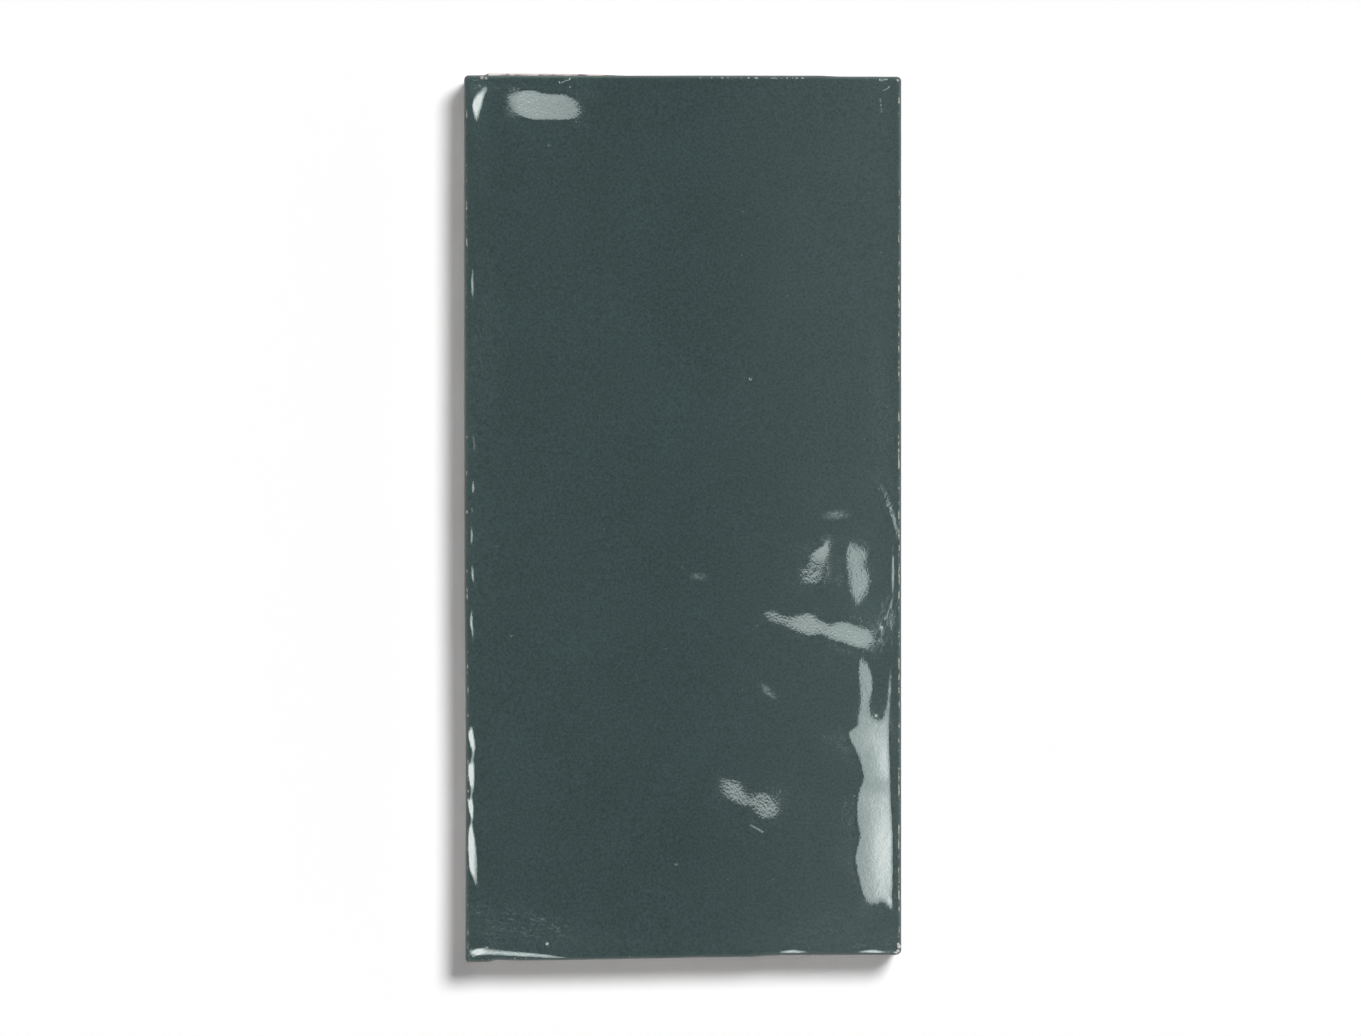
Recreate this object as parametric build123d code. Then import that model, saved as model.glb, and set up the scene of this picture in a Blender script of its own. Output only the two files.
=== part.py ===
"""A glazed ceramic wall tile of the handmade-look kind, 75 x 150 mm nominal, fired as one piece.

The tile lies on its keyed back. X runs across the tile, Y runs along it and Z points out of the
glazed face. The origin is under the middle of the tile, on the plane that the back rests on.
All sizes are in millimetres.
"""

from build123d import *
import math
import os

# Outline of the face, seen from above. The press die is a rectangle; firing pulled the corners.
face_width = 74.3
face_length = 151.0
top_right_drop = 0.2
bottom_right_rise = 1.3
bottom_left_inset = 0.2
top_left_radius = 0.75
top_right_radius = 0.8
bottom_right_radius = 0.95
bottom_left_radius = 0.65

# Section.
crown_thickness = 9.0
brim_height = 6.3
side_inset = 0.4
arris_radius = 0.55
back_bevel = 0.6

# The face falls away to its edges, as glaze and clay do on a hand-finished tile.
edge_fall = 0.28
edge_reach = 4.2
right_fall = 0.42
right_fall_reach = 5.0
right_fall_middle = -46.0
right_fall_half_length = 21.0

# Slow waves over the whole face.
wave_height = 0.05
wave_across = 37.0
wave_along = 58.0

# Swells (height above 0) and hollows (height under 0) left by the hand:
# middle x, middle y, half length, half width, turn of the length from X in degrees, height.
hand_marks = [
    (29.5, -49.0, 17.0, 3.4, 90.0, 0.17),
    (25.5, -17.2, 10.0, 2.6, -13.0, 0.16),
    (24.5, -22.4, 10.0, 2.6, -13.0, -0.22),
    (22.5, -5.2, 4.5, 2.8, 15.0, 0.15),
    (23.0, -10.9, 4.0, 2.6, 15.0, -0.18),
    (27.8, -9.0, 6.0, 2.4, 90.0, 0.12),
    (32.6, -9.5, 6.5, 2.6, 90.0, -0.12),
    (-24.5, 74.0, 9.0, 3.0, -3.0, 0.18),
    (-23.5, 66.4, 8.5, 3.6, -3.0, -0.19),
    (12.8, -45.6, 6.0, 3.0, -35.0, 0.10),
    (10.6, -50.4, 6.0, 3.0, -35.0, -0.08),
    (-10.0, 20.0, 22.0, 14.0, 65.0, -0.06),
    (8.0, 42.0, 20.0, 12.0, 20.0, 0.05),
]

# Keys pressed into the back, in a grid between raised ribs.
key_columns = 4
key_rows = 8
key_depth = 0.8
key_rib = 3.2
key_border = 4.5
key_corner_radius = 1.2
key_wall_deg = 25.0

# The fitted face reaches past the outline by this much, on a grid of about this spacing.
face_overlap = 3.0
face_spacing = 2.2


def outline(inset, height):
    """The tile's outline, drawn in by an inset, at a height above the back's plane."""
    right = face_width / 2 - inset
    top = face_length / 2 - inset
    corners = [
        (-right, top),
        (right, top - top_right_drop),
        (right, -top + bottom_right_rise),
        (-right + bottom_left_inset, -top),
    ]
    radii = [top_left_radius, top_right_radius, bottom_right_radius, bottom_left_radius]
    with BuildSketch() as sketch:
        with BuildLine():
            Polyline(*corners, close=True)
        make_face()
        for corner, radius in zip(corners, radii):
            nearest = sketch.vertices().sort_by_distance((*corner, 0))[0]
            fillet(nearest, radius)
    return Pos(0, 0, height) * sketch.sketch


def mark_height(x, y, mark):
    """The height that one hand mark adds at a point of the face."""
    middle_x, middle_y, half_length, half_width, turn_deg, height = mark
    turn = math.radians(turn_deg)
    dx = x - middle_x
    dy = y - middle_y
    along = (dx * math.cos(turn) + dy * math.sin(turn)) / half_length
    across = (dy * math.cos(turn) - dx * math.sin(turn)) / half_width
    return height * math.exp(-(along**2 + across**2))


def face_height(x, y):
    """The height of the glazed face above the back's plane."""
    to_right = face_width / 2 - x
    to_left = face_width / 2 + x
    to_top = face_length / 2 - y
    to_bottom = face_length / 2 + y
    height = crown_thickness
    for distance in (to_right, to_left, to_top, to_bottom):
        inside = max(distance, 0.0)
        height -= edge_fall * math.exp(-((inside / edge_reach) ** 2))
    along = (y - right_fall_middle) / right_fall_half_length
    inside = max(to_right, 0.0)
    height -= right_fall * math.exp(-((inside / right_fall_reach) ** 2) - along**4)
    height += wave_height * math.sin(2 * math.pi * (x / wave_across + y / wave_along))
    height += wave_height * math.cos(2 * math.pi * (x / wave_along - y / wave_across)) / 2
    for mark in hand_marks:
        height += mark_height(x, y, mark)
    return height


def face_cutter():
    """Everything above the glazed face, as one solid."""
    half_x = face_width / 2 + face_overlap
    half_y = face_length / 2 + face_overlap
    steps_x = max(8, round(2 * half_x / face_spacing))
    steps_y = max(8, round(2 * half_y / face_spacing))
    points = []
    for i in range(steps_x + 1):
        x = -half_x + 2 * half_x * i / steps_x
        row = []
        for j in range(steps_y + 1):
            y = -half_y + 2 * half_y * j / steps_y
            row.append((x, y, face_height(x, y)))
        points.append(row)
    surface = Face.make_surface_from_array_of_points(points, tol=0.002, min_deg=3, max_deg=3)
    return Solid.extrude(surface, (0, 0, crown_thickness))


def keys():
    """The keys of the back, as solids to cut away: shallow trays with sloping walls."""
    pitch_x = (face_width - 2 * key_border + key_rib) / key_columns
    pitch_y = (face_length - 2 * key_border + key_rib) / key_rows
    with BuildPart() as cut:
        with BuildSketch():
            with GridLocations(pitch_x, pitch_y, key_columns, key_rows):
                RectangleRounded(pitch_x - key_rib, pitch_y - key_rib, key_corner_radius)
        extrude(amount=key_depth, taper=key_wall_deg)
    return cut.part


def tile():
    """The whole tile: the pressed body, its face, its softened edges and its keyed back."""
    back = outline(side_inset + back_bevel / 2, 0.0)
    waist = outline(side_inset, back_bevel)
    brim = outline(0.0, brim_height)
    with BuildPart() as body:
        loft([back.face(), waist.face()], ruled=True)
        loft([waist.face(), brim.face()], ruled=True)
        extrude(brim.face(), amount=crown_thickness - brim_height + face_overlap)
        add(face_cutter(), mode=Mode.SUBTRACT)
        face = body.faces().sort_by(Axis.Z)[-1]
        fillet(face.edges(), arris_radius)
        add(keys(), mode=Mode.SUBTRACT)
    return body.part


wall_tile = tile()
os.makedirs("parts", exist_ok=True)
export_step(wall_tile, "parts/wall_tile.step")
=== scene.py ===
"""The look of a glazed wall tile of the handmade kind, lying on its back under a camera that looks down.

The tile is one closed mesh in place of its CAD node. Its glaze is solved as a height field whose
slopes catch the light panels inside given outlines and nowhere else, so its gleams are real relief,
save faint highlights painted into its colour. Work in the plane is in millimetres; Blender gets metres.
"""

import math

import bpy
import numpy as np
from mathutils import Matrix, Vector
from mathutils.geometry import delaunay_2d_cdt


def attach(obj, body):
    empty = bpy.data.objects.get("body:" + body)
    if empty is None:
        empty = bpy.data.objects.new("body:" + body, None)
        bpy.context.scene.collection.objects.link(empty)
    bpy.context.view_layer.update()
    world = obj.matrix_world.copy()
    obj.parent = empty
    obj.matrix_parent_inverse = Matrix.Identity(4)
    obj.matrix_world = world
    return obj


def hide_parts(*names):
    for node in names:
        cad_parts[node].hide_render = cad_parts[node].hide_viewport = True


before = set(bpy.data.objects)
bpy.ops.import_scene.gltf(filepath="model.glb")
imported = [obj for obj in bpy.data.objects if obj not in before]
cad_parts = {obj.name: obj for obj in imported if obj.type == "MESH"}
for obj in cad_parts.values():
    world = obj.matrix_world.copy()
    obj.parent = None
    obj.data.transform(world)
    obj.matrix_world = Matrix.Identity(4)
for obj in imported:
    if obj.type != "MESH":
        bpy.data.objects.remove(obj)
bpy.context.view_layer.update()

MM = 0.001
NODE = "wall_tile"

# The photograph's frame, and the scale at which it shows the tile. A pixel's number stands for its
# middle, so the frame's middle is half a pixel short of half its size.
PHOTO_WIDTH_PX = 1361
PHOTO_HEIGHT_PX = 1036
PX_PER_MM = 5.870
TILE_MIDDLE_PX = (682.2, 518.3)

# Outline of the face: corners in order from the top left, clockwise, in pixels of the photograph.
CORNERS_PX = [(463.6, 74.8), (900.9, 76.0), (900.9, 954.4), (464.9, 961.9)]
CORNER_RADII = [0.75, 0.75, 0.95, 0.6]

# Bows of the sides: place along the side and how far the glaze's edge lies outside the straight
# line between the corners, in pixels.
TOP_BOW = [(470, 0), (486, 0.1), (590, 0.1), (640, 0.3), (700, 0.6), (820, 0.8), (838, 0), (895, 0)]
RIGHT_BOW = [(80, 0), (950, 0)]
FOOT_BOW = [(470, 0), (488, 0), (495, -1.9), (520, -0.8), (570, -0.5), (640, -0.6), (660, -0.5),
            (700, -0.9), (750, -0.4), (776, -1.7), (800, -1.4), (860, -0.6), (893, 0)]
LEFT_BOW = [(80, 0), (410, 0.4), (600, 0.4), (700, -0.5), (780, -0.6), (960, 0)]

# The fired body shows past the glaze along part of the top side.
LIP = [(462, 0), (466, 0.2), (484, 0.2), (488, 2.1), (575, 1.9), (592, 1.4), (610, 0.6), (625, 0)]

# Wear of the glaze along the edge of the face: place along the side and its share.
TOP_WEAR = [(466, 0.5), (500, 0.5), (510, 0.1), (690, 0.1), (705, 0.75), (812, 0.75), (822, 0.15),
            (895, 0.3)]
RIGHT_WEAR = [(80, 0.9), (118, 0.9), (125, 0.3), (190, 0.35), (215, 0.8), (930, 0.8), (950, 1.0)]
FOOT_WEAR = [(470, 0.3), (484, 0.75), (522, 0.7), (530, 0.1), (620, 0.1), (628, 0.9), (636, 0.8),
             (645, 0.1), (810, 0.15), (816, 0.7), (822, 0.1), (880, 0.1), (895, 0.9)]
LEFT_WEAR = [(80, 0.45), (180, 0.6), (250, 0.6), (300, 0.4), (640, 0.5), (700, 0.62), (960, 0.62)]

# Section. GLAZE_RUN is how far the glaze runs down the sides, with its swing and its waves round
# the tile. The rim of the face is stepped, and the arris curves down from ARRIS_RUN.
CROWN = 9.0
BRIM = 6.3
SIDE_INSET = 0.4
BACK_BEVEL = 0.6
GLAZE_RUN = 1.9
GLAZE_RUN_SWING = 0.9
GLAZE_RUN_WAVES = 60
ARRIS_RUN = 0.42
ARRIS_START_DEG = 30.0
ARRIS_DROP = 0.73
ARRIS_STEPS = 6
RIM_ZONE = 2.3
RIM_STEPS = [2.1, 1.9, 1.7, 1.52, 1.36, 1.2, 1.05, 0.92, 0.8, 0.7, 0.6, 0.5, ARRIS_RUN]

# The face's mesh: spacing in mm, and where it is finer, in pixels of the photograph. Spacings blend
# over so many of the ticks along a side. From SHARP_DEG on, an edge is shaded as a sharp one.
COLUMN_SPACING = 0.62
FINE_COLUMNS = [(460, 488, 0.27), (745, 905, 0.32)]
ROW_SPACING = 0.72
FINE_ROWS = [(70, 128, 0.34), (475, 925, 0.36), (925, 965, 0.3)]
SPACING_TICKS = 2000
BLEND_TICKS = 30
SHARP_DEG = 38.0

# The height field behind it: its cells, the shortest and longest of its slow and of its fine waves,
# their slope, and its fall to the edges. Lengths are in mm.
FIELD_SPACING = 0.16
FIELD_MARGIN = 8.0
SLOW_WAVES = (14.0, 60.0)
FINE_WAVES = (0.9, 2.6)
WAVE_SLOPE = 0.006
EDGE_FALL = 0.2
EDGE_REACH = 5.0

# The camera above the tile and the light panels beside it.
CAMERA_DISTANCE = 5.0
PANEL_HEIGHT = 6.0
PANEL_NEAR_DEG = 8.5
PANEL_FAR_DEG = 40.0

# Slopes of the glaze, as in the tile's middle. One over CATCH shows the camera the panel that it
# leans to, and one up to CALM stays clear of it. No panel stands to the north, so a facet may be
# STEEP_NORTH there. ACROSS is how far a gleam may lean to its sides.
CATCH = math.tan(math.radians(PANEL_NEAR_DEG / 2))
CALM = 0.047
STEEP_NORTH = 0.4
ACROSS = 0.12
NORTH_ACROSS = 0.24

# The solver: its rounds, the last of which don't overshoot, the overshoot of the others, and the
# length over which the slow relief holds the face back.
SOLVE_ROUNDS = 70
SETTLING_ROUNDS = 5
HASTE = 1.5
BASE_PULL_MM = 30.0

# Keys of the back.
KEY_COLUMNS = 4
KEY_ROWS = 8
KEY_DEPTH = 0.8
KEY_RIB = 3.2
KEY_BORDER = 4.5
KEY_CORNER = 1.2
KEY_WALL_DEG = 25.0


def spot(px, py):
    """The place on the tile, in mm, of a pixel of the photograph."""
    return (px - TILE_MIDDLE_PX[0]) / PX_PER_MM, (TILE_MIDDLE_PX[1] - py) / PX_PER_MM


CORNERS = [spot(*corner) for corner in CORNERS_PX]
LEFT = min(x for x, _ in CORNERS)
RIGHT = max(x for x, _ in CORNERS)
BOTTOM = min(y for _, y in CORNERS)
TOP = max(y for _, y in CORNERS)

# Gleams. EAST, WEST and SOUTH are the ways that a facet leans to catch the panel there.
EAST = (1.0, 0.0)
WEST = (-1.0, 0.0)
SOUTH = (0.0, -1.0)

BAND = [
    (858.3, 660.7), (857.2, 675.9), (858.5, 686.8), (859, 697.6), (858.4, 712), (855.6, 725.6),
    (847, 731.3), (849.6, 741.2), (854.8, 749.7), (858.8, 761.1), (862.8, 777.4), (857.6, 790.9),
    (855.2, 810.8), (856.4, 823.6), (858.8, 834.9), (855.8, 846.3), (853.8, 859.1), (857, 876.1),
    (861, 891.8), (866.8, 900.8), (871, 902.6), (877.5, 900.8), (884.5, 901), (889.8, 908.6),
    (891.2, 902), (891.8, 870.5), (891.8, 842), (891.2, 820.7), (889.9, 799.4), (889.2, 771),
    (888.2, 735.5), (888.2, 714.2), (889.9, 690), (890.2, 665.1), (888.2, 678.1), (887, 692.2),
    (886.1, 706.3), (884.2, 713.9), (881.6, 719.6), (876.7, 720.2), (871.2, 717.1), (868.5, 709.5),
    (868.5, 702), (870.8, 692.2), (871.9, 680.3), (869.7, 670.5), (865.5, 661.8),
]
STREAK = [
    (765.5, 612.6), (773, 611), (779, 614.8), (786.6, 617.4), (798.6, 615.3), (808.3, 613.2),
    (818.1, 619.4), (828.9, 624.9), (835.4, 622.8), (844.1, 621.9), (855, 625.4), (866.5, 629.2),
    (872.3, 634.9), (872.6, 641.2), (866.5, 648.4), (858.8, 648.4), (844.1, 642.4), (832.2, 638.9),
    (820.3, 633.6), (810.5, 634.9), (800.7, 632.4), (791, 628.6), (783.4, 623.7), (774, 621.8),
    (767.5, 617.8),
]
FIN = [
    (826.2, 544.5), (827.4, 553.1), (825.2, 563.1), (823.2, 573.9), (818.8, 581.3), (810.5, 583.5),
    (802.9, 579.2), (802.4, 570.5), (808.5, 564), (810.5, 556.4), (815.9, 549.9),
]
FEATHER = [
    (850.6, 543.4), (858.2, 547.7), (865.8, 553.1), (862.6, 564), (868, 577.5), (867.4, 585.7),
    (862.6, 595.4), (857.1, 602), (851.9, 595.4), (850.1, 588), (848.1, 582), (848.3, 575.9),
    (846.8, 565.1), (845.8, 554.2),
]
PEANUT = [
    (510.2, 97.6), (513.6, 92.8), (520.7, 89.9), (530, 89.2), (537.8, 90.3), (544.5, 92.6),
    (556.4, 92.6), (565.4, 93.8), (572.5, 97.7), (577, 103), (579, 110.6), (576, 117.8),
    (568.9, 120.6), (560, 121.4), (550.2, 120.6), (540.4, 121), (531, 120.2), (521.5, 117.6),
    (514.4, 112.1), (510.7, 104.4),
]
SLIVER = [
    (485.4, 87), (480.5, 90.5), (473.4, 98.6), (471.4, 103.9), (472, 110.2), (474.7, 118.2),
    (476.5, 118.2), (480.1, 108.4), (483.2, 97.7),
]
LOBES = [
    (721.4, 781), (726.8, 778.5), (730.4, 781.5), (735.5, 780.8), (739.5, 784.5), (742.6, 790),
    (744.5, 796), (750, 797.5), (755, 795), (762, 793), (769, 795.5), (773.5, 801), (776.5, 808),
    (775, 814), (769.5, 817), (762, 816.5), (756.5, 811), (751, 804.5), (745, 803), (738.5, 803.5),
    (732, 800.5), (726.5, 795.5), (723, 789),
]
FOOT_STREAK = [
    (470.2, 952.4), (475.3, 948.8), (481.4, 948), (487.6, 949.6), (502.9, 950.8), (521.2, 952.2),
    (541.6, 954), (551.8, 955.5), (567.1, 957.9), (546.7, 957.7), (521.2, 956.6), (500.8, 955.3),
    (484.5, 954.4), (475.3, 956.4),
]
FOOT_LENS = [(778.3, 952.6), (785, 950.6), (792.7, 949.7), (800, 950.6), (806.6, 952.2), (792, 953.1)]
CORNER_LENS = [
    (858, 951.8), (866, 950.2), (873.5, 949.5), (883.1, 951.8), (892.7, 954.4), (879.2, 954.6),
    (868.5, 953.2),
]
WEST_BLADES = [
    [(470.5, 726.9), (467.6, 732.1), (467.6, 738.4), (469.9, 746.4), (471.6, 751), (473.9, 751),
     (474.7, 744.1), (472.8, 733.8)],
    [(470.5, 762.5), (467.4, 765.4), (467.6, 776.3), (469.9, 787.7), (472.8, 787.7), (473.6, 775.1),
     (473.1, 762.5)],
    [(471.1, 799.2), (467.1, 800.4), (467.9, 809.6), (469.9, 817.6), (469.5, 823.3), (471.2, 823.3),
     (472.8, 807.3)],
    [(469.2, 823.5), (467.4, 834.8), (467.6, 855.5), (468.5, 868.1), (472.2, 877.3), (475.1, 886.5),
     (476.6, 875), (476.2, 857.8), (474.7, 840.6), (472.2, 829.1), (470.8, 822.3)],
]

# Thin gleams: each point is a pixel of the photograph and a half width in pixels.
WEST_LINES = [
    [(471.3, 267, 0.3), (471.4, 283, 1.3), (471.3, 300, 0.3)],
    [(471.3, 426, 0.2), (472.5, 438, 0.7), (474.1, 451.5, 0.5)],
    [(472.2, 481, 0.5), (472.2, 487, 1.3), (472.2, 493, 0.5)],
    [(470.9, 504, 0.3), (470.9, 509, 0.8), (470.9, 514, 0.3)],
    [(470.6, 527, 0.5), (470.6, 535, 1.2), (470.6, 544, 0.5)],
    [(470.9, 562, 0.4), (471.6, 574, 1.2), (472.9, 585, 0.4)],
    [(470.9, 606, 0.4), (470.1, 622, 1.4), (472.9, 641, 0.4)],
    [(472.4, 750, 1.0), (472.0, 756, 0.9), (470.6, 763, 1.0)],
    [(471.6, 787, 1.0), (470.6, 793, 0.9), (469.4, 800, 1.0)],
]
EAST_LINES = [
    [(891.8, 540, 0.5), (892.2, 560, 1.0), (892.0, 580, 1.4), (891.6, 598, 0.4)],
    [(891.6, 600, 0.3), (890.4, 618, 0.5), (891.2, 650, 0.4)],
]
LINK_LINES = [
    [(862.6, 648, 1.6), (862.0, 655, 1.2), (862.2, 662, 2.0)],
]
CREASE = [(880.5, 484, 1.0), (886.4, 500, 1.9), (891.6, 513, 2.2), (895.3, 528, 1.7), (896, 536, 0.7)]

# Fine ridges of the glaze: two ends and a half width, in pixels, and a height in mm.
RIDGES = [
    (750.3, 824.7, 762.0, 831.3, 0.8, 0.016),
    (559.6, 81.6, 568.5, 78.2, 1.3, 0.03),
    (879.8, 79.0, 885.9, 78.7, 1.7, 0.11),
    (882.6, 89.2, 887.7, 86.5, 1.3, 0.015),
    (877.6, 99.5, 879.0, 110.8, 2.8, 0.01),
]

# Grains in the glaze: a pixel, a radius in pixels and a height in mm.
GRAINS = [
    (546.7, 943.4, 1.8, 0.09), (876, 715, 2.0, 0.1), (549, 145, 1.4, 0.013), (511, 635, 1.4, 0.012),
    (750, 378.3, 1.6, 0.02), (675.8, 863.4, 1.4, 0.014), (486.5, 945.8, 1.6, 0.014),
    (568.5, 86.5, 1.6, 0.014),
]

# Chips where the body shows at the corners: a pixel, a radius in pixels and how bare they are.
CHIPS = [
    (481.5, 77.0, 1.8, 0.5), (485.5, 77.6, 1.3, 0.45), (897.8, 943.5, 1.2, 0.85), (898.8, 946.0, 1.8, 0.85),
    (897.6, 950.5, 1.6, 0.85), (895.8, 952.3, 1.2, 0.85),
]


# The height field

def axis_cells(lowest, highest):
    """Middles of the field's cells along one axis, margins included."""
    count = round((highest - lowest + 2 * FIELD_MARGIN) / FIELD_SPACING / 8) * 8
    middle = (lowest + highest) / 2
    return middle + FIELD_SPACING * (np.arange(count) - (count - 1) / 2)


FIELD_X = axis_cells(LEFT, RIGHT)
FIELD_Y = axis_cells(BOTTOM, TOP)
GRID_X, GRID_Y = np.meshgrid(FIELD_X, FIELD_Y, indexing="ij")


def catch_shift(off_axis):
    """How much less a facet must lean to a panel when it lies nearer to it, in mm off the axis."""
    panel = PANEL_HEIGHT / MM * math.tan(math.radians(PANEL_NEAR_DEG))
    to_panel = np.arctan((panel - off_axis) / (PANEL_HEIGHT / MM))
    from_camera = np.arctan(off_axis / (CAMERA_DISTANCE / MM))
    return np.tan((to_panel - from_camera) / 2) - CATCH


EAST_SHIFT = catch_shift(GRID_X)
WEST_SHIFT = catch_shift(-GRID_X)
SOUTH_SHIFT = catch_shift(-GRID_Y)


def smooth_loop(points, steps=6):
    """A closed curve through the points, as a dense polygon."""
    knots = np.array(points)
    before = np.roll(knots, 1, 0)
    after = np.roll(knots, -1, 0)
    second = np.roll(knots, -2, 0)
    pieces = []
    for step in range(steps):
        t = step / steps
        curve = 2 * knots + (after - before) * t
        curve += (2 * before - 5 * knots + 4 * after - second) * t**2
        curve += (3 * knots - before - 3 * after + second) * t**3
        pieces.append(curve / 2)
    return np.stack(pieces, 1).reshape(-1, 2)


def window_around(points, reach):
    """The part of the field within reach of the points."""
    nearest = points.min(0) - reach
    furthest = points.max(0) + reach
    rows = slice(*np.searchsorted(FIELD_X, (nearest[0], furthest[0])))
    columns = slice(*np.searchsorted(FIELD_Y, (nearest[1], furthest[1])))
    return rows, columns


def segment_gap(x, y, start, end):
    """Distance from each cell to a segment, and how far along it the nearest point is."""
    run = end - start
    along = ((x - start[0]) * run[0] + (y - start[1]) * run[1]) / max(run @ run, 1e-9)
    along = np.clip(along, 0, 1)
    return np.hypot(x - start[0] - along * run[0], y - start[1] - along * run[1]), along


def loop_depth(outline_px, reach=1.5):
    """How deep each cell lies inside a closed outline, in mm, negative outside it."""
    loop = smooth_loop([spot(*point) for point in outline_px])
    part = window_around(loop, reach)
    x, y = GRID_X[part], GRID_Y[part]
    gap = np.full(x.shape, 1e9)
    inside = np.zeros(x.shape, bool)
    for start, end in zip(loop, np.roll(loop, -1, 0)):
        gap = np.minimum(gap, segment_gap(x, y, start, end)[0])
        if start[1] != end[1]:
            crossing = start[0] + (y - start[1]) * (end[0] - start[0]) / (end[1] - start[1])
            inside ^= ((start[1] > y) != (end[1] > y)) & (x < crossing)
    return part, np.where(inside, gap, -gap)


def strip_depth(points_px, reach=1.5):
    """The same for a thin strip with a half width at each point."""
    middles = np.array([spot(px, py) for px, py, _ in points_px])
    halves = np.array([half for _, _, half in points_px]) / PX_PER_MM
    part = window_around(middles, reach)
    x, y = GRID_X[part], GRID_Y[part]
    depth = np.full(x.shape, -1e9)
    for index in range(len(middles) - 1):
        gap, along = segment_gap(x, y, middles[index], middles[index + 1])
        half = halves[index] + (halves[index + 1] - halves[index]) * along
        depth = np.maximum(depth, half - gap)
    return part, depth


def gleam(points_px, toward, slope, edge=0.3, axis=None, far_slope=None, swells=(), skirt=0.0):
    """One gleam: its outline or thin line, which way and how far it leans, and how soon it does.

    The slope may run to another along an axis, and swell round places with a reach in pixels. A
    skirt, in mm, goes on falling off outside, where the glaze's ripple then frays the gleam.
    """
    part, inside = loop_depth(points_px) if len(points_px[0]) == 2 else strip_depth(points_px)
    wanted = np.full(inside.shape, slope)
    if axis is not None:
        start, end = (np.array(spot(*point)) for point in axis)
        run = end - start
        along = ((GRID_X[part] - start[0]) * run[0] + (GRID_Y[part] - start[1]) * run[1]) / (run @ run)
        wanted = slope + (far_slope - slope) * np.clip(along, 0, 1)
    for px, py, reach_x, reach_y, extra in swells:
        x, y = spot(px, py)
        off_x = (GRID_X[part] - x) * PX_PER_MM / reach_x
        off_y = (GRID_Y[part] - y) * PX_PER_MM / reach_y
        wanted = wanted + extra * np.exp(-off_x**2 - off_y**2)
    share = np.clip(inside / edge, -1, 1)
    reached = CATCH + np.where(share > 0, wanted - CATCH, CATCH - CALM) * share
    shift = {EAST: EAST_SHIFT, WEST: WEST_SHIFT, SOUTH: SOUTH_SHIFT}[toward]
    return part, inside > -edge, toward, reached + shift[part], inside > -skirt


def gleams():
    """All gleams of the face."""
    band_swells = [
        (881, 850, 14, 52, 0.042), (868, 738, 18, 15, 0.023), (883, 762, 8, 18, 0.026),
        (866, 800, 12, 10, 0.012), (880, 785, 14, 8, -0.02),
    ]
    streak_swells = [(805, 625, 12, 9, 0.01), (858, 640, 14, 8, 0.006)]
    feather_swells = [(858, 586, 8, 12, 0.008), (852, 552, 8, 8, 0.004)]
    lobe_swells = [(733, 788, 9, 8, 0.008)]
    found = [
        gleam(BAND, EAST, 0.1, 0.32, ((860, 800), (886, 800)), 0.132, band_swells, 0.1),
        gleam(STREAK, SOUTH, 0.08, 0.5, ((768, 616), (835, 632)), 0.108, streak_swells, 0.5),
        gleam(FIN, SOUTH, 0.135, 0.35, ((825, 548), (816, 565)), 0.0755, skirt=0.4),
        gleam(FEATHER, EAST, 0.098, 0.8, swells=feather_swells, skirt=0.55),
        gleam(PEANUT, SOUTH, 0.127, 0.5, ((520, 98), (575, 112)), 0.096, skirt=0.15),
        gleam(SLIVER, WEST, 0.11, 0.2, ((483, 104), (473, 101)), 0.27),
        gleam(LOBES, SOUTH, 0.085, 0.8, swells=lobe_swells, skirt=0.6),
        gleam(FOOT_STREAK, SOUTH, 0.15, 0.2, swells=[(476, 952, 7, 5, 0.12)]),
        gleam(FOOT_LENS, SOUTH, 0.16, 0.2),
        gleam(CORNER_LENS, SOUTH, 0.17, 0.2),
        gleam(CREASE, EAST, 0.088, 0.4),
    ]
    blade_axis = ((475.5, 800), (469, 800))
    found += [gleam(blade, WEST, 0.11, 0.2, blade_axis, 0.26) for blade in WEST_BLADES]
    found += [gleam(line, WEST, 0.17, 0.15) for line in WEST_LINES]
    found += [gleam(line, EAST, 0.15, 0.15) for line in EAST_LINES]
    found += [gleam(line, EAST, 0.08, 0.3) for line in LINK_LINES]
    return found


def band_noise(seed, shortest, longest, slope):
    """Smooth random relief whose waves lie between two lengths, with a given root mean square slope."""
    random = np.random.default_rng(seed)
    spectrum = np.fft.rfft2(random.standard_normal(GRID_X.shape))
    along_x = np.fft.fftfreq(GRID_X.shape[0], FIELD_SPACING)[:, None]
    along_y = np.fft.rfftfreq(GRID_X.shape[1], FIELD_SPACING)[None, :]
    waves = np.hypot(along_x, along_y)
    spectrum *= np.exp(-((waves * shortest) ** 2)) * (1 - np.exp(-((waves * longest) ** 2)))
    relief = np.fft.irfft2(spectrum, s=GRID_X.shape)
    steepness = np.gradient(relief, FIELD_SPACING, axis=0)
    return relief * slope / steepness.std()


def slow_relief():
    """The face's fall to its edges and its slow waves, before any gleam is worked in."""
    relief = band_noise(11, *SLOW_WAVES, WAVE_SLOPE)
    for distance in (RIGHT - GRID_X, GRID_X - LEFT, TOP - GRID_Y, GRID_Y - BOTTOM):
        relief -= EDGE_FALL * np.exp(-((np.maximum(distance, 0) / EDGE_REACH) ** 2))
    return relief


def slopes(height):
    """How far each cell leans to +X and to +Y: the fall of the height that way."""
    lean_x = (height - np.roll(height, -1, 0)) / FIELD_SPACING
    lean_y = (height - np.roll(height, -1, 1)) / FIELD_SPACING
    return lean_x, lean_y


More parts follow.
